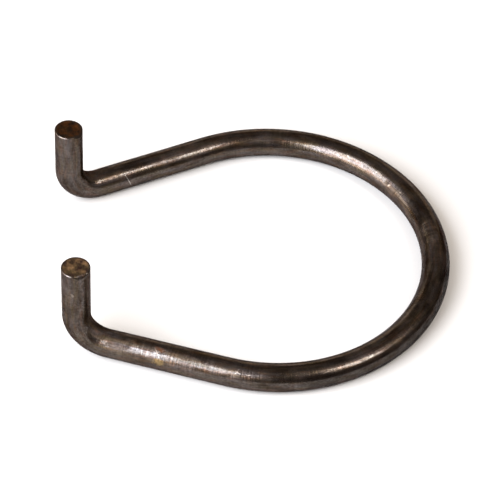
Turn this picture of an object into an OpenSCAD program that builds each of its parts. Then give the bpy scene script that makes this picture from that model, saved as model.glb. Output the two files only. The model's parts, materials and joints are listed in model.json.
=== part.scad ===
// One-piece U-bolt: a round steel bar bent into a bow that closes round a pipe. Its two legs run
// together in straight lines, and their ends turn up square as plain pegs for a pair of holes.
//
// Origin: the bow's centre, in the plane of the bar's centreline.
// +X runs from the pegs to the crown of the bow, +Z the way that the pegs stand, and +Y is the
// left peg's side. The bar lies on the plane z = -bar_d / 2.

/* [Bar] */
// Diameter of the round bar
bar_d = 8; // [6:0.5:10]
// Chamfer round the two cut ends
end_chamfer = 0.2; // [0.2:0.1:0.8]

/* [Bow] */
// Inside diameter of the bow
bow_inside_d = 84; // [76:1:92]

/* [Pegs] */
// Distance between the axes of the two pegs
peg_spacing = 56; // [48:1:64]
// Distance from the bow's centre back to the axes of the pegs
peg_reach = 56; // [52:1:62]
// Height of the left peg's end above the surface that the bar lies on
left_peg_h = 28.5; // [24:0.5:40]
// Height of the right peg's end above the same surface
right_peg_h = 31; // [24:0.5:40]
// Inside radius of the bend at the foot of each peg
foot_inside_r = 5; // [3:0.5:8]

/* [Hidden] */

$fn = 96;
steel = [0.20, 0.17, 0.15];

bar_r = bar_d / 2;
bow_r = bow_inside_d / 2 + bar_r; // radius of the bow's centreline
foot_r = foot_inside_r + bar_r;   // radius of the foot bend's centreline

// Each leg is a tangent to the bow, drawn back to the axis of its peg. The tangent's length covers
// the straight leg and the run of the foot bend, and its angle says where the bow gives way to it.
peg_y = peg_spacing / 2;
peg_from_centre = norm([peg_reach, peg_y]);
tangent_length = sqrt(pow(peg_from_centre, 2) - pow(bow_r, 2));
tangent_angle = atan2(peg_y, -peg_reach) - acos(bow_r / peg_from_centre);
leg_length = tangent_length - foot_r;

// Half of the bow, ending at the foot of the leg on the +X axis. It starts a few degrees past the
// crown, and half_bolt() trims it.
module half_bow() {
    swept = tangent_angle + 5;
    rotate_extrude(angle = swept, start = -swept)
        translate([bow_r, 0])
            circle(r = bar_r);
}

// A straight leg, from the origin along +Y.
module leg() {
    rotate([-90, 0, 0])
        cylinder(r = bar_r, h = leg_length);
}

// A quarter bend that sets off along +Y from the origin and ends heading along +Z.
module foot_bend() {
    translate([0, 0, foot_r])
        rotate([0, 90, 0])
            rotate_extrude(angle = 90)
                translate([foot_r, 0])
                    circle(r = bar_r);
}

// A plain peg, from the origin up along +Z, with a chamfer round its cut end.
module peg(length) {
    cylinder(r = bar_r, h = length - end_chamfer);
    translate([0, 0, length - end_chamfer])
        cylinder(r1 = bar_r, r2 = bar_r - end_chamfer, h = end_chamfer);
}

// Everything on the left peg's side of the plane y = 0.
module left_side() {
    reach = bow_r + peg_reach + left_peg_h + right_peg_h;
    translate([-reach, 0, -reach])
        cube(2 * reach);
}

// The left half of the bolt, whose peg ends peg_h above the surface that the bar lies on. It is
// trimmed at the crown on the plane y = 0, where the other half meets it face to face.
module half_bolt(peg_h) {
    intersection() {
        rotate([0, 0, tangent_angle]) {
            half_bow();
            translate([bow_r, 0, 0]) {
                leg();
                translate([0, leg_length, 0]) {
                    foot_bend();
                    translate([0, foot_r, foot_r])
                        peg(peg_h - bar_r - foot_r);
                }
            }
        }
        left_side();
    }
}

// The whole bolt is one length of bar, so it is one solid.
module bent_bar() {
    color(steel) {
        half_bolt(left_peg_h);
        mirror([0, 1, 0])
            half_bolt(right_peg_h);
    }
}

bent_bar();
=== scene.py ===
import json
import math

import bpy
from mathutils import Matrix, Vector


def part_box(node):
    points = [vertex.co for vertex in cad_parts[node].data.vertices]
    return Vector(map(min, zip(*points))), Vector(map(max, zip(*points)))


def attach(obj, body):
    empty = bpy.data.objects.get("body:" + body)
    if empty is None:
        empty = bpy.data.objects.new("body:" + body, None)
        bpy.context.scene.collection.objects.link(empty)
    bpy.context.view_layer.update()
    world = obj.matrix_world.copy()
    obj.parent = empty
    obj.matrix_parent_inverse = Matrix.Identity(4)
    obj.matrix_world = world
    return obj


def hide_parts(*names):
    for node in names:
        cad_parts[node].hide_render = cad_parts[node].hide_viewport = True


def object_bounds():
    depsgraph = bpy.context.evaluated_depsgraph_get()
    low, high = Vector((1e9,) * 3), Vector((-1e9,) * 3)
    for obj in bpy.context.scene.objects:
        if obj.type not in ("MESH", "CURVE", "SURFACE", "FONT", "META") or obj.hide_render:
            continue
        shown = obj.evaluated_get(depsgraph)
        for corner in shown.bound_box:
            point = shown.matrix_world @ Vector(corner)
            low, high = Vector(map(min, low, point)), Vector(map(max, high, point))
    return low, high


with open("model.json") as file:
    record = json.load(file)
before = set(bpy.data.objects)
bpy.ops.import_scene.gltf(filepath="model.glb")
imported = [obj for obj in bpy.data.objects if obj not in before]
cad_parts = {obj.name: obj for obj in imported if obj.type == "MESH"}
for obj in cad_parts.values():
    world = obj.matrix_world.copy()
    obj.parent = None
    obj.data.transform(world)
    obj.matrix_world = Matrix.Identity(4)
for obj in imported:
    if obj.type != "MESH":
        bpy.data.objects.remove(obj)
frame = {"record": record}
cad_low, cad_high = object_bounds()


# ---------------------------------------------------------------- camera
# A long lens looks down on the bolt from the front and a little to its left, with the pegs on the
# left of the view and the crown of the bow on the right.

look_at = Vector((-0.00616, 0.00222, 0.0))
camera_azimuth = math.radians(-6.6)
camera_elevation = math.radians(45.8)
camera_roll = math.radians(2.8)
camera_distance = 0.7714
bpy.ops.object.camera_add()
camera = bpy.context.object
camera.name = "camera"
camera.data.lens = 197.1
camera.data.sensor_width = 36
camera.matrix_world = (
    Matrix.Translation(look_at)
    @ Matrix.Rotation(camera_azimuth, 4, "Z")
    @ Matrix.Rotation(math.pi / 2 - camera_elevation, 4, "X")
    @ Matrix.Rotation(camera_roll, 4, "Z")
    @ Matrix.Translation((0, 0, camera_distance))
)
bpy.context.scene.camera = camera


# ---------------------------------------------------------------- bar, bent cold
# One length of drawn round steel bar, blackened and oiled, is the whole bolt. It is sheared to
# length, its two ends are turned up square round a former, and the middle is rolled into the bow.

mounts = {mount["name"]: mount for mount in frame["record"]["mounts"]}
left_peg = mounts["left_peg"]
right_peg = mounts["right_peg"]
peg_x, peg_y, left_middle = left_peg["pos_m"]
right_middle = right_peg["pos_m"][2]
left_straight = left_peg["dims"]["length_mm"] / 1000
right_straight = right_peg["dims"]["length_mm"] / 1000

bar_radius = left_peg["dims"]["r_mm"] / 1000
bow_radius = mounts["bow_seat"]["dims"]["r_mm"] / 1000 + bar_radius
foot_radius = left_middle - left_straight / 2
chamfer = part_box("bent_bar")[1].z - (right_middle + right_straight / 2)

# Each leg is a tangent to the bow, so the peg's place gives the bow's sweep and the leg's length.
peg_from_centre = math.hypot(peg_x, peg_y)
bow_half_sweep = math.atan2(peg_y, peg_x) - math.acos(bow_radius / peg_from_centre)
leg_length = math.sqrt(peg_from_centre**2 - bow_radius**2) - foot_radius

# Distances along the straight bar, from the crown of the bow. The left peg is at the +X end.
bow_half = bow_radius * bow_half_sweep
foot_start = bow_half + leg_length
foot_end = foot_start + foot_radius * math.pi / 2
left_end = foot_end + left_straight + chamfer
right_end = foot_end + right_straight + chamfer

bar_sides = 64
bpy.ops.object.select_all(action="DESELECT")
bpy.ops.mesh.primitive_circle_add(
    vertices=bar_sides,
    radius=bar_radius,
    location=(chamfer - right_end, 0, 0),
    rotation=(0, math.pi / 2, 0),
)
bar = bpy.context.object
bar.name = "bent_round_bar"
bpy.ops.object.transform_apply(location=True, rotation=True, scale=True)

# The circle is drawn out into many short lengths, so that the bar bends smoothly. A modifier does it,
# as subdivide would number the points differently on each run.
bar_lengths = 1200
drawn_out = bar.modifiers.new("drawn_out", "SCREW")
drawn_out.axis = "X"
drawn_out.angle = 0
drawn_out.screw_offset = left_end + right_end - 2 * chamfer
drawn_out.steps = bar_lengths
drawn_out.render_steps = bar_lengths
bpy.ops.object.modifier_apply(modifier=drawn_out.name)

tiny = 1e-6
square_on = 0.99


def select_edges(wanted):
    """Selects the edges of the bar, in edit mode, whose two ends pass the test."""
    bpy.ops.mesh.select_mode(type="EDGE")
    bpy.ops.mesh.select_all(action="DESELECT")
    bpy.ops.object.mode_set(mode="OBJECT")
    points = bar.data.vertices
    for edge in bar.data.edges:
        a, b = (points[i].co for i in edge.vertices)
        edge.select = wanted(a, b)
    bpy.ops.object.mode_set(mode="EDIT")


def select_end(side):
    """Selects the flat face at one end of the bar, in edit mode. The side is 1 for the left end."""
    bpy.ops.mesh.select_mode(type="FACE")
    bpy.ops.mesh.select_all(action="DESELECT")
    bpy.ops.object.mode_set(mode="OBJECT")
    for polygon in bar.data.polygons:
        polygon.select = polygon.normal.x * side > square_on
    bpy.ops.object.mode_set(mode="EDIT")


bpy.ops.object.mode_set(mode="EDIT")
for rim_x in (left_end - chamfer, chamfer - right_end):
    select_edges(lambda a, b: abs(a.x - rim_x) < tiny and abs(b.x - rim_x) < tiny)
    bpy.ops.mesh.edge_face_add()
bpy.ops.mesh.select_all(action="SELECT")
bpy.ops.mesh.normals_make_consistent(inside=False)

# A small chamfer breaks the rim. The sheared face inside it is inset in rings, so that it has
# enough points to be torn rough.
end_rings = 12
for side in (1, -1):
    select_end(side)
    bpy.ops.mesh.inset(thickness=chamfer, depth=chamfer)
    for ring in range(end_rings):
        bpy.ops.mesh.inset(thickness=(bar_radius - chamfer) / (end_rings + 1))
    bpy.ops.mesh.poke()
bpy.ops.object.mode_set(mode="OBJECT")

# Finishes run along the bar and round it, so they are laid out on it while it is still straight.
straight_bar = bar.data.attributes.new("straight_bar", "FLOAT_VECTOR", "POINT")
for vertex in bar.data.vertices:
    straight_bar.data[vertex.index].vector = vertex.co


def on_bar(along, angle):
    """A point on the straight bar, from millimetres along it and degrees up from its outer side."""
    turn = math.radians(angle)
    return Vector((along / 1000, -bar_radius * math.cos(turn), bar_radius * math.sin(turn)))


# The blades drag one side of each end over before they break through, which leaves a smooth facet
# there. The bare cut face takes the second or third material slot. The left end's facet has
# rusted with it, out to its rim, and the right end's has kept its film. How far each point of a facet
# is smoothed is noted, so that it isn't torn later.
drag_reach = 0.0025
past_chamfer = 0.5
facet_fade = 5
smoothed = {}
for side, angle, facet_starts, drag, facet_rusted in (
    (1, 140, 0.78, 0.0009, True),
    (-1, 42, 0.80, 0.0013, False),
):
    dragged_way = on_bar(0, angle).normalized()
    end = left_end if side > 0 else right_end
    for polygon in bar.data.polygons:
        if polygon.center.dot(dragged_way) > facet_starts * bar_radius:
            bare = facet_rusted and polygon.normal.x * side > past_chamfer
        else:
            bare = polygon.normal.x * side > square_on
        if bare:
            polygon.material_index = 1 if side > 0 else 2
    for vertex in bar.data.vertices:
        from_end = end - vertex.co.x * side
        past_facet_start = vertex.co.dot(dragged_way) / bar_radius - facet_starts
        if from_end < drag_reach and past_facet_start > 0:
            share = past_facet_start / (1 - facet_starts)
            vertex.co.x -= side * drag * share * (1 - from_end / drag_reach)
            smoothed[vertex.index] = min(1.0, facet_fade * share)

# The formers press the inside of each foot bend a little flat, and its outside thins as it
# stretches.
inside_flat = 0.03
outside_thinning = 0.02
for vertex in bar.data.vertices:
    through = (abs(vertex.co.x) - foot_start) / (foot_end - foot_start)
    if 0 < through < 1:
        most = inside_flat if vertex.co.z > 0 else outside_thinning
        vertex.co.z *= 1 - most * math.sin(math.pi * through)

# Knocks have left shallow hollows: distance along, angle, radius and depth, in millimetres.
knocks = [
    (-106.9, 62, 1.3, 0.05),
    (-108.6, 52, 1.1, 0.05),
    (-88.0, 24, 0.9, 0.06),
    (-87.0, 32, 0.7, 0.05),
    (-147.4, 6, 1.0, 0.05),
    (-146.5, 330, 1.1, 0.05),
    (148.0, 350, 0.9, 0.05),
    (104.0, 100, 1.4, 0.05),
    (38.0, 128, 1.3, 0.04),
    (29.0, 140, 1.0, 0.05),
    (18.0, 112, 1.2, 0.04),
    (-24.0, 75, 1.5, 0.05),
    (-61.0, 150, 1.2, 0.05),
]
for along, angle, radius, depth in knocks:
    knocked = on_bar(along, angle)
    for vertex in bar.data.vertices:
        nearness = 1 - (vertex.co - knocked).length_squared / (radius / 1000) ** 2
        if nearness > 0:
            vertex.co -= on_bar(0, angle).normalized() * depth / 1000 * nearness**2

# The side weathers all over. The torn ends turn smooth again at their rim and on a facet.
rim_fade = 2.5
side_group = bar.vertex_groups.new(name="side")
end_group = bar.vertex_groups.new(name="ends")
for vertex, drawn in zip(bar.data.vertices, straight_bar.data):
    radius = math.hypot(drawn.vector.y, drawn.vector.z)
    if radius > bar_radius - tiny:
        side_group.add([vertex.index], 1.0, "REPLACE")
    else:
        tearing = min(1.0, rim_fade * (1 - radius / bar_radius))
        tearing *= 1 - smoothed.get(vertex.index, 0)
        end_group.add([vertex.index], tearing, "REPLACE")


def roughen(name, grain_size, depth, group, octaves):
    """Sinks the chosen points into the steel by a patchy amount that is never more than the depth."""
    cloud = bpy.data.textures.new(name, "CLOUDS")
    cloud.noise_scale = grain_size
    cloud.noise_depth = octaves
    sink = bar.modifiers.new(name, "DISPLACE")
    sink.texture = cloud
    sink.texture_coords = "LOCAL"
    sink.direction = "NORMAL"
    sink.mid_level = 1.0
    sink.strength = depth
    sink.vertex_group = group
    bpy.context.view_layer.objects.active = bar
    bpy.ops.object.modifier_apply(modifier=name)


roughen("drawn_waviness", grain_size=0.011, depth=0.00006, group="side", octaves=1)
roughen("scale_pitting", grain_size=0.0016, depth=0.00003, group="side", octaves=2)
roughen("torn_fracture", grain_size=0.0016, depth=0.00055, group="ends", octaves=3)


def bend(start, end, angle, upwards):
    """Bends the bar between two distances along it. What lies past the two stays straight.

    It turns about whichever end is nearer the crown, or about the crown if that lies midway.
    """
    former = bpy.data.objects.new("former", None)
    bpy.context.collection.objects.link(former)
    former.location.x = start if abs(start) < abs(end) else end
    if abs(start + end) < tiny:
        former.location.x = 0
    former.rotation_euler.x = math.pi / 2 if upwards else 0
    bpy.context.view_layer.update()
    along = [vertex.co.x - former.location.x for vertex in bar.data.vertices]
    low, high = min(along), max(along)
    turn = bar.modifiers.new("turn", "SIMPLE_DEFORM")
    turn.deform_method = "BEND"
    turn.deform_axis = "Z"
    turn.origin = former
    turn.angle = angle
    turn.limits = (
        (start - former.location.x - low) / (high - low),
        (end - former.location.x - low) / (high - low),
    )
    bpy.context.view_layer.objects.active = bar
    bpy.ops.object.modifier_apply(modifier=turn.name)
    bpy.data.objects.remove(former)


bend(foot_start, foot_end, math.pi / 2, upwards=True)
bend(-foot_end, -foot_start, math.pi / 2, upwards=True)
bend(-bow_half, bow_half, 2 * bow_half_sweep, upwards=False)
bar.matrix_world = Matrix.Translation((bow_radius, 0, 0)) @ Matrix.Rotation(math.pi / 2, 4, "Z")
bpy.ops.object.transform_apply(location=True, rotation=True, scale=True)
bpy.ops.object.shade_smooth_by_angle(angle=math.radians(40))


def add_node(tree, kind, inputs=None, **settings):
    """Adds a shader node. Its inputs are given as values, or as outputs of other nodes to link."""
    node = tree.nodes.new(kind)
    for name, value in settings.items():
        setattr(node, name, value)
    for name, value in (inputs or {}).items():
        if isinstance(value, bpy.types.NodeSocket):
            tree.links.new(value, node.inputs[name])
        else:
            node.inputs[name].default_value = value
    return node


def calculate(tree, operation, a, b=0.0, c=0.0):
    node = add_node(tree, "ShaderNodeMath", {0: a, 1: b, 2: c}, operation=operation)
    return node.outputs[0]


def blend_colours(tree, share, a, b, blend_type="MIX"):
    node = add_node(
        tree, "ShaderNodeMix", {0: share, 6: a, 7: b}, data_type="RGBA", blend_type=blend_type
    )
    return node.outputs[2]


def rescale(tree, value, from_low, from_high, to_low, to_high, smooth=False):
    node = add_node(
        tree,
        "ShaderNodeMapRange",
        {"Value": value, "From Min": from_low, "From Max": from_high, "To Min": to_low, "To Max": to_high},
        interpolation_type="SMOOTHSTEP" if smooth else "LINEAR",
    )
    return node.outputs[0]


def new_group(name, inputs, outputs):
    """A shader node group. Its inputs and outputs are given by name, with their types."""
    group = bpy.data.node_groups.new(name, "ShaderNodeTree")
    for socket_name, kind in inputs.items():
        group.interface.new_socket(socket_name, in_out="INPUT", socket_type="NodeSocket" + kind)
    for socket_name, kind in outputs.items():
        group.interface.new_socket(socket_name, in_out="OUTPUT", socket_type="NodeSocket" + kind)
    return group, group.nodes.new("NodeGroupInput").outputs


# A patchy mask whose patches have one size along the bar and another round it. Long patches are the
# lines that a drawing die leaves, and short wide ones are the marks of rolls and rags across it.
grain, grain_in = new_group(
    "bar_grain",
    {"Place": "Vector", "Along": "Float", "Round": "Float", "Seed": "Float", "Low": "Float", "High": "Float"},
    {"Mask": "Float"},
)
grain_scale = add_node(
    grain,
    "ShaderNodeCombineXYZ",
    {
        "X": calculate(grain, "DIVIDE", 1.0, grain_in["Along"]),
        "Y": calculate(grain, "DIVIDE", 1.0, grain_in["Round"]),
        "Z": calculate(grain, "DIVIDE", 1.0, grain_in["Round"]),
    },
)
grain_place = add_node(
    grain, "ShaderNodeVectorMath", {0: grain_in["Place"], 1: grain_scale.outputs[0]}, operation="MULTIPLY"
)
grain_noise = add_node(
    grain,
    "ShaderNodeTexNoise",
    {"Vector": grain_place.outputs[0], "W": grain_in["Seed"], "Scale": 1.0, "Detail": 3.0, "Roughness": 0.55},
    noise_dimensions="4D",
)
grain_mask = rescale(grain, grain_noise.outputs["Fac"], grain_in["Low"], grain_in["High"], 0.0, 1.0)
add_node(grain, "NodeGroupOutput", {"Mask": grain_mask})


def place_grain(tree, place, along, around, seed, low=0.35, high=0.65):
    """Places the grain in a material, with the size of its patches in millimetres."""
    values = {"Along": along / 1000, "Round": around / 1000, "Seed": seed, "Low": low, "High": high}
    node = add_node(tree, "ShaderNodeGroup", node_tree=grain)
    for name, value in values.items():
        node.inputs[name].default_value = value
    tree.links.new(place, node.inputs["Place"])
    return node.outputs["Mask"]


# One mark with ragged edges at a place of its own on the bar: a scratch, a scuff or a smear. Its
# depth keeps it on the side of the bar where it is placed.
mark, mark_in = new_group(
    "bar_mark",
    {"Place": "Vector", "Middle": "Vector", "Turn": "Vector", "Size": "Vector", "Grain": "Float"},
    {"Mask": "Float"},
)
mark_place = add_node(
    mark,
    "ShaderNodeMapping",
    {
        "Vector": mark_in["Place"],
        "Location": mark_in["Middle"],
        "Rotation": mark_in["Turn"],
        "Scale": mark_in["Size"],
    },
    vector_type="TEXTURE",
)
mark_distance = add_node(
    mark, "ShaderNodeVectorMath", {0: mark_place.outputs[0]}, operation="LENGTH"
).outputs["Value"]
mark_edge = add_node(
    mark,
    "ShaderNodeTexNoise",
    {
        "Vector": mark_in["Place"],
        "Scale": calculate(mark, "DIVIDE", 1.0, mark_in["Grain"]),
        "Detail": 2.0,
    },
)
raggedness = 1.2
edge_starts = 1.15
edge_ends = 1.65
mark_ragged = calculate(mark, "MULTIPLY_ADD", mark_edge.outputs["Fac"], raggedness, mark_distance)
mark_mask = rescale(mark, mark_ragged, edge_starts, edge_ends, 1.0, 0.0, smooth=True)
add_node(mark, "NodeGroupOutput", {"Mask": mark_mask})


mark_depth = 0.0012


def place_mark(tree, place, along, angle, length, width, turn=0, grain_size=0.5):
    """Places a mark in a material, in millimetres, turned by degrees from the way the bar runs."""
    facing = Matrix.Rotation(math.radians(90 - angle), 3, "X") @ Matrix.Rotation(math.radians(turn), 3, "Z")
    node = add_node(tree, "ShaderNodeGroup", node_tree=mark)
    node.inputs["Middle"].default_value = on_bar(along, angle)
    node.inputs["Turn"].default_value = facing.to_euler()
    node.inputs["Size"].default_value = (length / 2000, width / 2000, mark_depth)
    node.inputs["Grain"].default_value = grain_size / 1000
    tree.links.new(place, node.inputs["Place"])
    return node.outputs["Mask"]


def new_material(name):
    material = bpy.data.materials.new(name)
    material.use_nodes = True
    tree = material.node_tree
    place = add_node(tree, "ShaderNodeAttribute", attribute_name="straight_bar").outputs["Vector"]
    bar.data.materials.append(material)
    return tree, tree.nodes["Principled BSDF"], place


# Hot-oil blackening is a thin brown-black film that shows the steel's own lustre through it. It is
# thin and bronze in some places, cold and slate grey in others, and the oil dries in specks.
tree, surface, place = new_material("oiled_black_oxide")
brown_black = (0.032, 0.021, 0.014, 1)
mauve_grey = (0.080, 0.066, 0.063, 1)
olive_bronze = (0.090, 0.068, 0.038, 1)
copper_brown = (0.108, 0.056, 0.034, 1)
tone = blend_colours(tree, place_grain(tree, place, 9, 2.0, 1, 0.36, 0.64), brown_black, mauve_grey)
olive = calculate(tree, "MULTIPLY", place_grain(tree, place, 7, 1.4, 2, 0.45, 0.65), 0.5)
tone = blend_colours(tree, olive, tone, olive_bronze)
copper = calculate(tree, "MULTIPLY", place_grain(tree, place, 3.5, 0.9, 3, 0.48, 0.68), 0.4)
tone = blend_colours(tree, copper, tone, copper_brown)

# The rolls that bend the bow leave fine lines across the bar. They are deepest on the right leg and
# at the crown, where the rolls gripped hardest.
cross_lines = place_grain(tree, place, 0.5, 7, 5, 0.42, 0.58)
gripped = calculate(
    tree,
    "MAXIMUM",
    calculate(tree, "MULTIPLY", place_grain(tree, place, 12, 6, 9, 0.45, 0.6), 0.3),
    place_mark(tree, place, -104.5, 52, 34, 6.5, 0, 3.0),
)
gripped = calculate(tree, "MAXIMUM", gripped, place_mark(tree, place, 3, 104, 13, 6, 0, 2.0))
cross_lines = calculate(tree, "MULTIPLY", cross_lines, calculate(tree, "MULTIPLY_ADD", gripped, 0.8, 0.2))
die_lines = place_grain(tree, place, 25, 0.4, 6, 0.3, 0.7)
speckle = place_grain(tree, place, 0.7, 0.5, 4, 0.35, 0.65)
streaks = calculate(tree, "MULTIPLY_ADD", cross_lines, 0.4, calculate(tree, "MULTIPLY", die_lines, 0.4))
streaks = calculate(tree, "MULTIPLY_ADD", speckle, 0.4, streaks)
lift = blend_colours(tree, streaks, (0.5, 0.48, 0.46, 1), (1.5, 1.5, 1.5, 1))
tone = blend_colours(tree, 1.0, tone, lift, "MULTIPLY")

# Painted shade: the outside of the bow, to the right of its crown, is painted darker, so that it reflects the
# floor more dimly there.
painted_shade_black = (0.010, 0.007, 0.005, 1)
painted_shade_mask = calculate(tree, "MULTIPLY", place_mark(tree, place, -36, 16, 88, 8, 0, 8.0), 0.6)
tone = blend_colours(tree, painted_shade_mask, tone, painted_shade_black)

# Where the film is knocked or rubbed through, the steel shows bright: distance along, angle,
# length, width and turn.
worn_steel = (0.22, 0.18, 0.15, 1)
scuffs = [
    (-107.3, 62, 4.6, 0.42, 32),
    (-107.7, 54, 4.2, 0.42, -52),
    (-85.6, 54, 1.9, 0.3, 60),
    (-85.3, 53, 1.8, 0.3, -25),
    (-82.6, 49, 1.6, 0.4, 8),
    (-62.0, 52, 2.6, 0.4, 8),
    (-147.4, 5, 1.6, 0.9, 20),
    (148.5, 340, 1.4, 0.6, 80),
    (44.0, 130, 1.5, 0.5, -30),
    (27.0, 142, 1.4, 0.6, 45),
    (22.0, 132, 1.2, 0.5, 10),
]
scuffed = 0.0
for along, angle, length, width, turn in scuffs:
    scuffed = calculate(
        tree, "MAXIMUM", scuffed, place_mark(tree, place, along, angle, length, width, turn)
    )
tone = blend_colours(tree, calculate(tree, "MULTIPLY", scuffed, 0.7), tone, worn_steel)

# Something brass has rubbed off on the right leg, and a spot of rust has come through beside it.
brass = (0.22, 0.15, 0.06, 1)
rust = (0.055, 0.018, 0.005, 1)
brass_smear = place_mark(tree, place, -106.9, 20, 3.6, 2.4, 0, 0.9)
brass_smear = calculate(tree, "MULTIPLY", brass_smear, calculate(tree, "MULTIPLY_ADD", speckle, 0.5, 0.3))
tone = blend_colours(tree, brass_smear, tone, brass)
rust_spot = place_mark(tree, place, -107.2, 73, 3.8, 1.5, -10, 0.5)
rust_spot = calculate(tree, "MULTIPLY", rust_spot, calculate(tree, "MULTIPLY_ADD", speckle, 0.6, 0.4))
tone = blend_colours(tree, rust_spot, tone, rust)

# One hair-fine scratch crosses the left leg.
bare_steel = (0.60, 0.56, 0.52, 1)
hair_scratch = place_mark(tree, place, 114.6, 160, 7.4, 0.17, -70, 5.0)
tone = blend_colours(tree, hair_scratch, tone, bare_steel)
tree.links.new(tone, surface.inputs["Base Color"])

# The film hides so little of the steel that nearly all of the surface is metal, except for the rust.
metal = rescale(tree, place_grain(tree, place, 5, 2.5, 15, 0.4, 0.62), 0.0, 1.0, 0.92, 1.0)
metal = calculate(tree, "MULTIPLY_ADD", rust_spot, -0.7, metal)
tree.links.new(metal, surface.inputs["Metallic"])
surface.inputs["Specular Tint"].default_value = (0.3, 0.27, 0.25, 1)
roughness = rescale(tree, speckle, 0.0, 1.0, 0.33, 0.24)
roughness = calculate(tree, "MULTIPLY_ADD", place_grain(tree, place, 9, 5, 7, 0.4, 0.65), 0.08, roughness)
roughness = calculate(tree, "MULTIPLY_ADD", rust_spot, 0.2, roughness)

# The formers leave the film dull inside each foot bend, and on the right leg where it was held.
foot_middle = (foot_start + foot_end) * 500
pressed = place_mark(tree, place, -119.0, 52, 8, 5, 0, 1.2)
for foot in (-foot_middle, foot_middle):
    pressed = calculate(tree, "MAXIMUM", pressed, place_mark(tree, place, foot, 90, 30, 9, 0, 3.0))
roughness = calculate(tree, "MULTIPLY_ADD", pressed, 0.26, roughness)
roughness = calculate(tree, "MULTIPLY_ADD", gripped, 0.15, roughness)
tree.links.new(roughness, surface.inputs["Roughness"])

# The oxide film is magnetite, which bends light far more than oil or varnish does. It shines most
# where it is burnished, on the lines of the rolls and on specks, and not where the formers pressed.
film = rescale(tree, place_grain(tree, place, 4, 1.2, 10, 0.36, 0.64), 0.0, 1.0, 0.06, 0.22)
burnished = calculate(tree, "MAXIMUM", cross_lines, calculate(tree, "MULTIPLY", speckle, 0.7))
film = calculate(tree, "MULTIPLY", film, calculate(tree, "MULTIPLY_ADD", burnished, 1.3, 0.3))
film = calculate(tree, "MULTIPLY", film, calculate(tree, "MULTIPLY_ADD", pressed, -1.0, 1.0))
tree.links.new(film, surface.inputs["Coat Weight"])
surface.inputs["Coat Roughness"].default_value = 0.13
surface.inputs["Coat IOR"].default_value = 2.4

# Fine pits, the lines along and across the bar, and the hollows of the scuffs catch the light.
pits = place_grain(tree, place, 0.4, 0.35, 8, 0.3, 0.7)
height = calculate(tree, "MULTIPLY", pits, 0.2)
height = calculate(tree, "MULTIPLY_ADD", cross_lines, 2.6, height)
height = calculate(tree, "MULTIPLY_ADD", die_lines, 0.4, height)
height = calculate(tree, "MULTIPLY_ADD", scuffed, -1.2, height)
pit_depth = 0.00002
bump = add_node(tree, "ShaderNodeBump", {"Height": height, "Strength": 1.0, "Distance": pit_depth})
tree.links.new(bump.outputs[0], surface.inputs["Normal"])


def rust_end(name, dark, middle, bright):
    """The torn face that the shears leave. It is bare steel, so it has rusted where it was wet."""
    tree, surface, place = new_material(name)
    tone = blend_colours(tree, place_grain(tree, place, 2.2, 2.2, 11, 0.4, 0.6), dark, middle)
    bloom = place_grain(tree, place, 2.4, 2.4, 12, 0.44, 0.7)
    tone = blend_colours(tree, bloom, tone, bright)
    grit = place_grain(tree, place, 0.35, 0.35, 13, 0.3, 0.7)
    shade = blend_colours(tree, grit, (0.7, 0.68, 0.65, 1), (1.35, 1.3, 1.25, 1))
    tone = blend_colours(tree, 1.0, tone, shade, "MULTIPLY")
    across = add_node(tree, "ShaderNodeVectorMath", {0: place, 1: (0, 1, 1)}, operation="MULTIPLY")
    radius = add_node(tree, "ShaderNodeVectorMath", {0: across.outputs[0]}, operation="LENGTH")
    # Painted shade: the torn face is painted darker in a ring just inside its rim, all the way round.
    rim = rescale(tree, radius.outputs["Value"], 0.78 * bar_radius, 0.93 * bar_radius, 0.0, 0.75, True)
    painted_rim_shade = (0.012, 0.009, 0.007, 1)
    tone = blend_colours(tree, rim, tone, painted_rim_shade)
    tree.links.new(tone, surface.inputs["Base Color"])
    tree.links.new(rescale(tree, grit, 0.0, 1.0, 0.55, 0.8), surface.inputs["Roughness"])
    surface.inputs["Specular IOR Level"].default_value = 0.05
    torn = calculate(tree, "MULTIPLY_ADD", place_grain(tree, place, 0.8, 0.8, 14, 0.3, 0.7), 2.0, grit)
    torn_depth = 0.00004
    bump = add_node(tree, "ShaderNodeBump", {"Height": torn, "Strength": 1.0, "Distance": torn_depth})
    tree.links.new(bump.outputs[0], surface.inputs["Normal"])


rust_end("rusted_left_end", (0.003, 0.0012, 0.0004, 1), (0.008, 0.0034, 0.0008, 1), (0.030, 0.009, 0.001, 1))
rust_end("rusted_right_end", (0.012, 0.006, 0.004, 1), (0.030, 0.020, 0.009, 1), (0.095, 0.054, 0.026, 1))

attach(bar, "root")
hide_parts("bent_bar")


# ---------------------------------------------------------------- floor and light
# A sheet of pale grey card lies under the bolt, lit until it looks white. A large soft box and a low
# warm reflector stand to the left, a small soft box to the right, and a warm card low at the back.
# The ceiling throws a little of their light back, and the room is dim.

floor_size = 6.0
bpy.ops.mesh.primitive_plane_add(size=floor_size, location=(0, 0, cad_low.z))
floor = bpy.context.object
floor.name = "pale_card"
card = bpy.data.materials.new("pale_card")
card.use_nodes = True
card_surface = card.node_tree.nodes["Principled BSDF"]
card_surface.inputs["Base Color"].default_value = (0.49, 0.48, 0.47, 1)
card_surface.inputs["Roughness"].default_value = 0.9
card_surface.inputs["Specular IOR Level"].default_value = 0.2
floor.data.materials.append(card)


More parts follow.
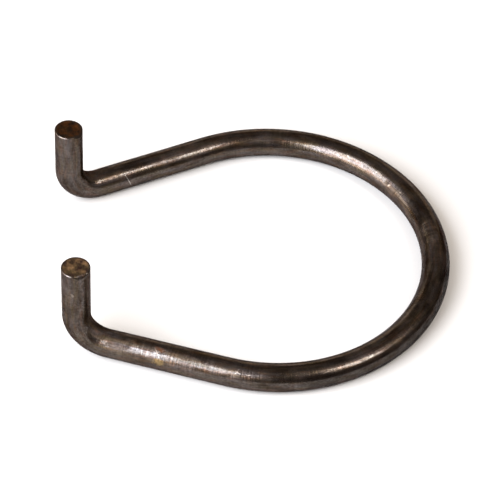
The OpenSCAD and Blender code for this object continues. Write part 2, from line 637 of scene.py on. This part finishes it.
def soft_box(name, azimuth, elevation, distance, width, height, radiance, colour):
    """A rectangular lamp that faces the bolt, as bright all over as its radiance says."""
    bpy.ops.object.light_add(type="AREA")
    lamp = bpy.context.object
    lamp.name = name
    lamp.data.shape = "RECTANGLE"
    lamp.data.size = width
    lamp.data.size_y = height
    lamp.data.energy = radiance * math.pi * width * height
    lamp.data.color = colour
    lamp.matrix_world = (
        Matrix.Rotation(math.radians(azimuth + 90), 4, "Z")
        @ Matrix.Rotation(math.radians(90 - elevation), 4, "X")
        @ Matrix.Translation((0, 0, distance))
    )
    lamp.visible_camera = False
    return lamp


# Each lamp's azimuth, elevation, distance, width, height, radiance and colour.
soft_box("key_box", -149, 38, 1.2, 1.1, 0.9, 15, (0.89, 0.93, 1.0))
soft_box("side_box", -31, 49, 1.2, 0.36, 0.42, 19, (1.0, 0.94, 0.88))
soft_box("low_reflector", -163, 10, 1.2, 1.6, 0.38, 8.0, (1.0, 0.86, 0.7))
soft_box("back_card", 83, 13, 1.3, 1.6, 0.55, 1.4, (1.0, 0.88, 0.72))
soft_box("ceiling", 0, 90, 1.6, 3.5, 3.5, 0.1, (1.0, 0.83, 0.68))

# A diffuser overhead opens up the shadows. Its own image stays off the polished steel.
diffuser = soft_box("diffuser", 0, 90, 1.5, 3.5, 3.5, 0.9, (1.0, 0.92, 0.84))
diffuser.visible_glossy = False

room = bpy.context.scene.world or bpy.data.worlds.new("room")
bpy.context.scene.world = room
room.use_nodes = True
room_nodes = room.node_tree
dim_walls = room_nodes.nodes["Background"]
dim_walls.inputs["Color"].default_value = (0.045, 0.033, 0.026, 1)

# The card's far edge stays out of sight: past it the camera sees plain white and not the walls.
card_beyond = add_node(room_nodes, "ShaderNodeBackground", {"Color": (1.0, 1.0, 1.0, 1), "Strength": 1.0})
seen = add_node(room_nodes, "ShaderNodeLightPath").outputs["Is Camera Ray"]
beyond = add_node(
    room_nodes,
    "ShaderNodeMixShader",
    {0: seen, 1: dim_walls.outputs[0], 2: card_beyond.outputs[0]},
)
room_nodes.links.new(beyond.outputs[0], room_nodes.nodes["World Output"].inputs["Surface"])

bpy.context.scene.view_settings.view_transform = "Standard"
